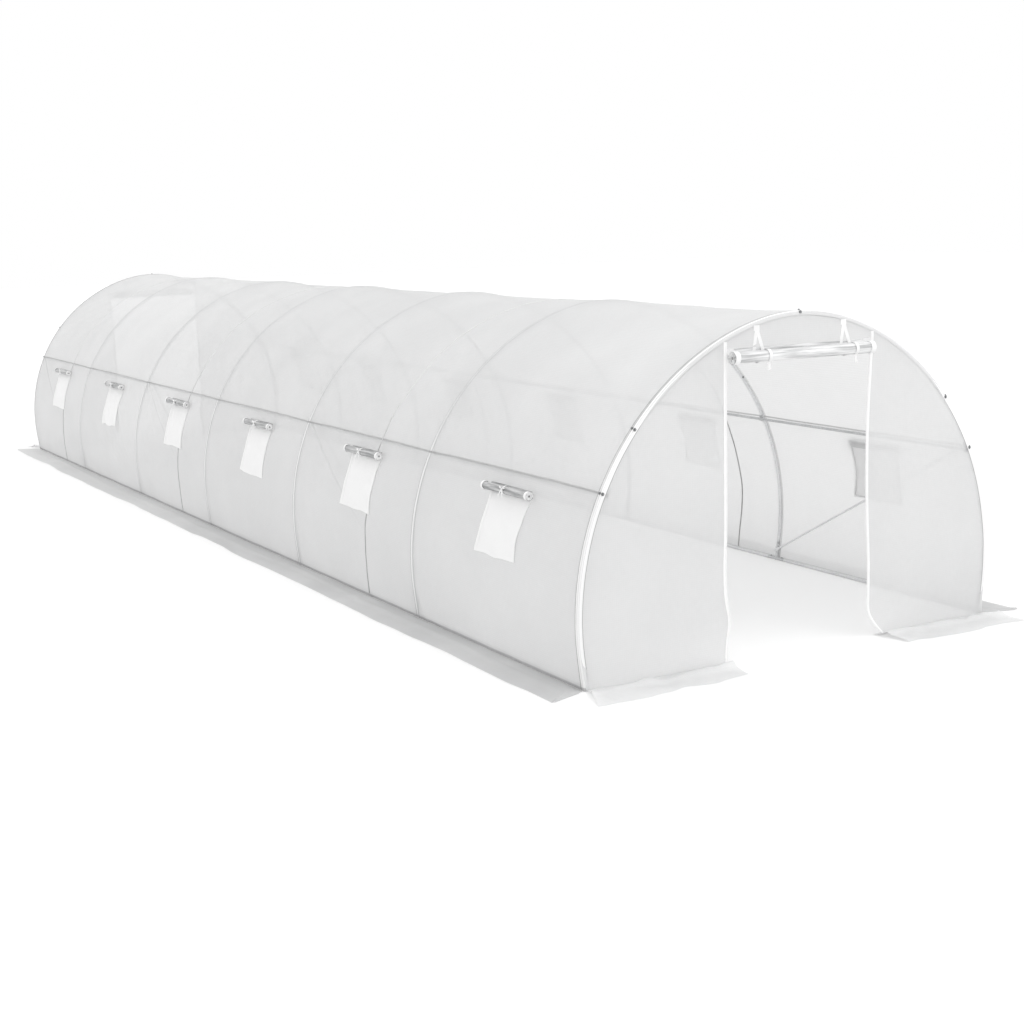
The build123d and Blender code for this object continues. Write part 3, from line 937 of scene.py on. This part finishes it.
def addRoll(bags, centre, way, outward, upward, look, seed):
    # A sheet of film wound up outside the wall: its last turn runs up to the edge that it hangs from.
    # way runs along the roll.
    rollBag, bandBag, coreBag = bags
    centre, way, outward, upward = (np.asarray(v, float) for v in (centre, way, outward, upward))
    radius, inner, half = look["rollRadius"], look["rollInner"], look["rollHalf"]
    windEnd = 2 * look["wound"] / (radius + inner)
    wind = np.linspace(0, windEnd, int(windEnd / 0.22) + 1)[:, None]
    places = np.linspace(-half, half, look["rollSteps"])[None]
    turn = math.pi + windEnd - wind
    swell = 1 - 0.0175 * (1 + bumps(np.cos(turn) * 1.6 + 9, np.sin(turn) * 1.6 + places * 9 + 20, seed))
    ridge = 0.016 * np.exp(-(((np.cos(turn - 1.1 - places * 0.3) - 1) / 0.02) ** 2))
    size = (inner + (radius - inner) * wind / windEnd) * (swell + ridge - 0.02)
    slide = 0.0025 * bumps(wind * 0.5, 0.5, seed + 7) * wind / windEnd
    rows = []
    for row in range(len(wind)):
        toFront, toTop = math.cos(turn[row, 0]), math.sin(turn[row, 0])
        ring = np.outer(size[row] * toFront, outward) + np.outer(size[row] * toTop, upward)
        rows.append(centre + ring + np.outer(places[0] + slide[row, 0], way))
    # The lead up to the wall lies between the hem bands.
    back = look["rollBack"]
    narrow = (half - look["band"] - 0.004) / half
    for share in (0.3, 0.6, 1.0):
        across = -radius * 0.94 * (1 - share) - back * share
        rise = look["lead"] * share
        rows.append(centre + outward * across + upward * rise + np.outer(places[0] * narrow, way))
    rollBag.grid(np.stack(rows))
    circle = np.linspace(0, 2 * math.pi, 40, endpoint=False)
    for end in (-1, 1):
        tip = end * (half - 0.0005)
        path = [centre + way * tip, centre + way * (tip - end * 0.004)]
        coreBag.tube(path, outward, upward, inner * 0.8, 20)
        # The side hems lie on each other in the roll's ends.
        tip = end * (half - 0.0015)
        path = [centre + way * tip, centre + way * (tip - end * 0.003)]
        bandBag.tube(path, outward, upward, radius * 0.92, 32)
        ring = []
        for reach in (half - look["band"], half - 0.001):
            for size in (radius * 0.985, radius * 1.015):
                around = np.outer(size * np.cos(circle), outward)
                around = around + np.outer(size * np.sin(circle), upward)
                ring.append(centre + way * end * reach + around)
        points = np.stack([ring[0], ring[1], ring[3], ring[2], ring[0]])
        bandBag.add(points.reshape(-1, 3), gridFaces(5, len(circle), closed=True))


doorRoll, doorBand, doorCore = Bag(), Bag(), Bag()
doorBags = (doorRoll, doorBand, doorCore)
addRoll(doorBags, (0, rollY, door["rollZ"]), (1, 0, 0), (0, -1, 0), (0, 0, 1), door, 41)
ribbonBag = Bag()


def addRibbon(bag, points, width, thick, widthWay):
    # A flat ribbon along points, standing off by half its thickness each way.
    points = np.asarray(points, float)
    ahead = np.gradient(points, axis=0)
    ahead /= np.linalg.norm(ahead, axis=1)[:, None]
    widthWay = np.broadcast_to(np.asarray(widthWay, float), points.shape)
    widthWay = widthWay - ahead * (widthWay * ahead).sum(1)[:, None]
    widthWay /= np.linalg.norm(widthWay, axis=1)[:, None]
    normal = np.cross(ahead, widthWay)
    grid = np.stack([points - widthWay * width / 2, points, points + widthWay * width / 2], 1)
    normals = np.stack([normal] * 3, 1)
    bag.slab(grid - normals * thick / 2, thick, normals)


for side in (-1, 1):
    tieX, tieTop = side * door["tieX"], door["tieTop"]
    top = np.array([tieX, wallAt(tieX, tieTop) - 0.003, tieTop])
    radius = door["rollRadius"] + 0.0012
    shift, back = door["tieSlide"]
    for angleFrom, angleTo, slide in ((2.7, -1.2, shift), (2.9, 5.1, back)):
        turn = np.linspace(angleFrom, angleTo, 22)
        # Angle 0 faces the front, a quarter turn up is the roll's top.
        y, z = rollY - radius * np.cos(turn), door["rollZ"] + radius * np.sin(turn)
        ring = np.stack([np.full_like(turn, top[0] + slide), y, z], -1)
        lead = np.linspace(0, 1, 10)[:-1, None]
        strand = top * (1 - lead) + ring[0] * lead
        addRibbon(ribbonBag, np.concatenate([strand, ring]), door["tieWidth"], 0.0012, (1, 0, 0))
    tail = []
    for step, ahead, below in door["tail"]:
        tail.append([top[0] + shift + step, rollY - radius * ahead, door["rollZ"] - radius * below])
    addRibbon(ribbonBag, tail, door["tieWidth"] * 0.8, 0.0012, (1, 0, 0))
    patch = np.linspace(-0.02, 0.02, 3)
    px, pz = np.meshgrid(top[0] + patch, door["tieTop"] + patch * 0.8)
    grid = np.stack([px, np.full_like(px, top[1] + 0.001), pz], -1)
    ribbonBag.slab(grid, 0.0012, np.broadcast_to(np.array([0, -1.0, 0]), grid.shape))

for endName in ("front", "rear"):
    parts = {
        "door_zip_tape": (zipBag, zipCloth, "zip_tape", "door_zips"),
        "door_zip_teeth": (teethBag, ribbonCloth, "zip_tape", None),
        "door_rolled_film": (doorRoll, doorRollFilm, "rolled_film", "door_roll"),
        "door_roll_bands": (doorBand, zipCloth, "rolled_film", None),
        "door_roll_cores": (doorCore, coreDark, "rolled_film", None),
        "door_ribbons": (ribbonBag, ribbonCloth, "ribbon", "door_ties"),
    }
    for name, (bag, finish, slotName, node) in parts.items():
        placed = bag if endName == "front" else bag.turned()
        made = placed.piece(f"{endName}_{name}", finish, slotName)
        sharpen(made, 50)
        if node:
            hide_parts(f"{endName}_{node}")
    wall, area = wallSheets[endName]
    arch = "arch_1" if endName == "front" else "arch_7"
    size = (2 * tunnel["footX"] + 0.1, 2.0)
    size = (2 * door["rollHalf"], door["wound"] + door["lead"])
print("doors made")

# Windows: net with hems, rolled blind, tie and knot. Built on the left and mirrored.
window = {
    "netMargin": 0.016,
    "rollRadius": 0.026,
    "rollInner": 0.008,
    "rollHalf": 0.265,
    "rollBack": 0.0285,
    "rollSteps": 22,
    "wound": 0.42,
    "lead": 0.034,
    "band": 0.022,
    "rollZ": 0.990,
    "rollOut": 0.0434,
    "tieWidth": 0.013,
}
nets, hems, blinds, bands, cores, ribbons = (Bag() for _ in range(6))
topRun, lowRun = windowRuns[0] - window["netMargin"], windowRuns[1] + window["netMargin"]
halfWide = cover["windowWidth"] / 2 + window["netMargin"]
for number, place in enumerate(windowPlaces):
    down = np.linspace(0, 1, 15)
    wide = np.linspace(-1, 1, 17)
    downGrid, wideGrid = np.meshgrid(down, wide, indexing="ij")
    waist = 1 + 0.03 * downGrid + 0.02 * bumps(downGrid * 3, number + 0.5, 51)
    lower = 0.012 * bumps(wideGrid * 2, number * 2.3, 52) * downGrid
    y = place + wideGrid * halfWide * waist
    run = -(topRun + (lowRun - topRun) * downGrid + lower)
    y = y + windowSlant(run, y)
    puff = 0.004 + 0.004 * bumps(y * 7, run * 7, 54)
    out = filmOut(run, y) + 0.0032 + np.clip(puff, 0, None) * np.sin(downGrid * math.pi)
    grid = onWall(run, y, out)
    normal = onWall(run, y, 1.0) - onWall(run, y, 0.0)
    nets.slab(grid, 0.0008, normal)
    lift = normal * 0.0012
    hems.slab((grid + lift)[-2:, :], 0.0010, normal[-2:, :])
    hems.slab((grid + lift)[:-1, :2], 0.0010, normal[:-1, :2])
    hems.slab((grid + lift)[:-1, -2:], 0.0010, normal[:-1, -2:])

    angle = math.acos((window["rollZ"] - sideZ) / (sideRadius + window["rollOut"]))
    rollX = sideX + (sideRadius + window["rollOut"]) * math.sin(angle)
    centre = np.array([-rollX, place, window["rollZ"]])
    outward = np.array([-math.sin(angle), 0, math.cos(angle)])
    upward = np.array([math.cos(angle), 0, math.sin(angle)])
    addRoll((blinds, bands, cores), centre, (0, 1, 0), outward, upward, window, 60 + number)
    radius = window["rollRadius"] + 0.0012
    turn = np.linspace(0.25, 2 * math.pi - 0.25, 30)
    ring = centre + np.outer(radius * np.cos(turn), outward)
    ring = ring + np.outer(radius * np.sin(turn), upward)
    addRibbon(ribbons, ring, window["tieWidth"], 0.0012, (0, 1, 0))
    knot = centre + outward * (radius + 0.003)
    for tilt in (-0.6, 0.5):
        low = knot - upward * 0.006 + (0, 0.006 * tilt, 0)
        path = [low, knot + outward * 0.002, knot + upward * 0.007]
        ribbons.tube(np.array(path), outward, np.array([0, 1.0, 0]), 0.0035, 8, 0.006)
        loop = np.linspace(0, 2 * math.pi, 14)
        bow = (
            knot
            + np.outer(0.004 * np.sin(loop) + 0.004, outward)
            + np.outer(0.010 * (1 - np.cos(loop)) * 0.6, upward)
            + np.outer(tilt * 0.045 * np.sin(loop / 2), np.array([0, 1.0, 0]))
        )
        addRibbon(ribbons, bow, 0.009, 0.001, outward + upward * 0.2)
        fall = np.linspace(0, 1, 6)[:, None]
        drop = -upward * 0.05 + np.array([0, tilt * 0.05, 0])
        tail = knot + fall * drop + outward * 0.004 * (1 - fall)
        addRibbon(ribbons, tail, 0.009, 0.001, (0, 1, 0))

for sideName in ("left", "right"):
    parts = {
        "net_cloth": (nets, netCloth, "insect_net", "window_nets"),
        "net_hems": (hems, hemTape, "insect_net", None),
        "blind_rolls": (blinds, windowRollFilm, "rolled_film", "window_rolls"),
        "blind_bands": (bands, zipCloth, "rolled_film", None),
        "blind_cores": (cores, coreDark, "rolled_film", None),
        "blind_ribbons": (ribbons, ribbonCloth, "ribbon", "window_ties"),
    }
    for name, (bag, finish, slotName, node) in parts.items():
        placed = bag if sideName == "left" else bag.mirrored()
        made = placed.piece(f"{name}_{sideName}", finish, slotName)
        sharpen(made, 50)
        if node:
            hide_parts(f"{node}_{sideName}")
    # The six nets and the six blinds of a side are each cut from one strip.
    count = len(windowPlaces)
    size = (2 * halfWide, count * (lowRun - topRun))
    size = (2 * window["rollHalf"], count * (window["wound"] + window["lead"]))
print("windows made")

# Skirts: the cover's edge lying on the ground.
skirt = {"side": 0.25, "end": 0.275, "step": 0.030, "ragged": 0.020, "fold": 0.010}
wallFoot = float(sectionAt(runToGround(tunnel["film"], 0.004))[0] + tunnel["film"] * math.sin(legAngle))
for side, sideName in ((-1, "left"), (1, "right")):
    across = np.linspace(0, 1, 20)
    along = stretched(-endFace - 0.075, endFace + 0.075, skirt["step"])
    acrossGrid, y = np.meshgrid(across, along)
    ragged = skirt["ragged"] * (bumps(y * 1.3, 0.5, 71 + side) + 0.6 * bumps(y * 4.1, 2.5, 72 + side))
    beyond = np.clip(np.abs(y) - endFace, 0, None) / 0.075
    start = np.where(beyond > 0, skirt["side"] * beyond * 0.92, 0.0)
    x = wallFoot + 0.001 + start + acrossGrid * (skirt["side"] + ragged - start)
    ripple = bumps(y * 2.7, acrossGrid * 2.2, 73 + side) + 0.5 * bumps(y * 7.1, acrossGrid * 5, 74 + side)
    ridge = 0.45 + 0.20 * bumps(y * 0.9, 1.5, 75 + side)
    height = 0.4 + 0.6 * np.abs(bumps(y * 0.7, 3.5, 76 + side))
    fold = np.exp(-(((acrossGrid - ridge) / 0.09) ** 2)) * height
    rise = 0.005 * (ripple + 1.3) + skirt["fold"] * fold
    # The cover gathers on the ground under each seam.
    for number in seam["arches"]:
        off = y - archPlaces[number] - bay * seam["leftPlace"]
        rise = rise + 0.014 * np.exp(-((off / 0.06) ** 2))
        rise = rise + 0.008 * np.exp(-(((off - 0.16) / 0.07) ** 2))
    z = 0.0022 + rise * np.sin(np.clip(acrossGrid, 0, 1) * math.pi) ** 0.7
    grid = np.stack([side * x, y, z], -1)
    faces = gridFaces(*grid.shape[:2])
    flap = makePiece(f"ground_skirt_{sideName}", grid.reshape(-1, 3), faces, shadedSkirtFilm)
    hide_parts(f"skirt_{sideName}")

for endName, turn in (("front", 1), ("rear", -1)):
    for side, sideName in ((-1, "left"), (1, "right")):
        across = np.linspace(0, 1, 52)
        away = np.linspace(0, 1, 20)
        acrossGrid, awayGrid = np.meshgrid(across, away)
        corner = wallFoot - 0.015 + 0.10 * awayGrid
        doorSide = endWall["doorHalf"] + 0.05 - (0.02 if side < 0 else -0.06) * awayGrid
        x = side * (corner * (1 - acrossGrid) + doorSide * acrossGrid)
        reach = skirt["end"] * (1 - 0.10 * acrossGrid) + 0.020 * bumps(x * 5, 0.7, 81 + side)
        y = -endFace - 0.004 - awayGrid * reach
        y = y - 0.022 * bumps(x * 11, 0.3, 88 + side) * awayGrid
        rumple = bumps(x * 5, y * 8, 83 + side) + 0.7 * bumps(x * 13, y * 17, 84 + side)
        ridge = 0.42 + 0.16 * bumps(x * 2.2, 0.5, 85 + side)
        fold = np.exp(-(((awayGrid - ridge) / 0.10) ** 2))
        humps = 0.011 * (rumple + 1.3) + 0.024 * fold * (1 + 0.7 * bumps(x * 7, 0.5, 86 + side))
        swell = np.sin(np.clip(awayGrid * 0.97 + 0.03, 0, 1) * math.pi) ** 0.6
        z = 0.0022 + np.clip(humps, 0, None) * swell
        grid = np.stack([x, y, z], -1)
        faces = gridFaces(*grid.shape[:2])
        if side > 0:
            faces = [tuple(reversed(f)) for f in faces]
        grid = grid * np.array([turn, turn, 1.0])
        flapSide = sideName if turn == 1 else {"left": "right", "right": "left"}[sideName]
        flap = makePiece(f"{endName}_flap_{flapSide}", grid.reshape(-1, 3), faces, flapFilm)
        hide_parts(f"{endName}_skirt_{flapSide}")
print("skirts made")


# 1 for what the camera sees, itself, in a gloss or through the film
def seenRays(start):
    rays = start.node("ShaderNodeLightPath").socket.node
    seen = Tap(start.tree, rays.outputs["Is Camera Ray"])
    seen = start.maths("MAXIMUM", seen, Tap(start.tree, rays.outputs["Is Glossy Ray"]))
    return start.maths("MAXIMUM", seen, Tap(start.tree, rays.outputs["Is Transmission Ray"]))


# Floor, light and camera
studio = {
    "floorHalf": 60.0,
    "floorTone": 0.80,
    "floorGlow": 0.20,
    "worldLight": 1.05,
    "keyLight": 0.55,
    "keySpread": 50,
    "keyAim": (-0.45, 0.55, -1.0),
}
floorMesh = bpy.data.meshes.new("floor")
reach = studio["floorHalf"]
corners = [(-reach, -reach, 0), (reach, -reach, 0), (reach, reach, 0), (-reach, reach, 0)]
floorMesh.from_pydata(corners, [], [(0, 1, 2, 3)])
floor = bpy.data.objects.new("floor", floorMesh)
bpy.context.scene.collection.objects.link(floor)
floor.location.z = -0.0005
floorMaterial = bpy.data.materials.new("pale floor")
floorMaterial.use_nodes = True
tree = floorMaterial.node_tree
start = Tap(tree)
seen = seenRays(start)
shader = tree.nodes["Principled BSDF"]
shader.inputs["Base Color"].default_value = rgb(studio["floorTone"])
shader.inputs["Roughness"].default_value = 0.9
shader.inputs["Specular IOR Level"].default_value = 0.1
strength = seen * studio["floorGlow"]
glow = start.node("ShaderNodeEmission", None, {"Color": (1, 1, 1, 1), "Strength": strength})
both = start.node("ShaderNodeAddShader", None, {0: Tap(tree, shader.outputs[0]), 1: glow})
tree.links.new(both.socket, tree.nodes["Material Output"].inputs[0])
floorMesh.materials.append(floorMaterial)

world = bpy.data.worlds.new("studio")
bpy.context.scene.world = world
world.use_nodes = True
tree = world.node_tree
start = Tap(tree)
seen = seenRays(start)
tree.nodes["Background"].inputs[0].default_value = (1, 1, 1, 1)
strength = studio["worldLight"] + seen * (1.0 - studio["worldLight"])
tree.links.new(strength.socket, tree.nodes["Background"].inputs[1])

lamp = bpy.data.lights.new("key", "SUN")
lamp.energy = studio["keyLight"]
lamp.angle = math.radians(studio["keySpread"])
key = bpy.data.objects.new("key", lamp)
bpy.context.scene.collection.objects.link(key)
key.rotation_euler = Vector(studio["keyAim"]).to_track_quat("-Z", "Y").to_euler()

view = {
    "place": (-5.984, -13.114, 2.5597),
    "azimuth": math.radians(29.7535),
    "elevation": math.radians(-10.4623),
    "roll": math.radians(-1.5110),
    "focal": 1593.99,  # in pixels of the photograph, which is 1024 wide
}
camera = bpy.data.cameras.new("camera")
camera.sensor_width = 36
camera.lens = view["focal"] * camera.sensor_width / 1024
camera.clip_end = 300
eye = bpy.data.objects.new("camera", camera)
bpy.context.scene.collection.objects.link(eye)
ahead = Vector(
    (
        math.sin(view["azimuth"]) * math.cos(view["elevation"]),
        math.cos(view["azimuth"]) * math.cos(view["elevation"]),
        math.sin(view["elevation"]),
    )
)
right = Vector((math.cos(view["azimuth"]), -math.sin(view["azimuth"]), 0))
up = right.cross(ahead)
rolledRight = math.cos(view["roll"]) * right + math.sin(view["roll"]) * up
rolledUp = -math.sin(view["roll"]) * right + math.cos(view["roll"]) * up
turnMatrix = Matrix((rolledRight, rolledUp, -ahead)).transposed().to_4x4()
eye.matrix_world = Matrix.Translation(view["place"]) @ turnMatrix
bpy.context.scene.camera = eye
bpy.context.scene.view_settings.view_transform = "Standard"
print("studio made")
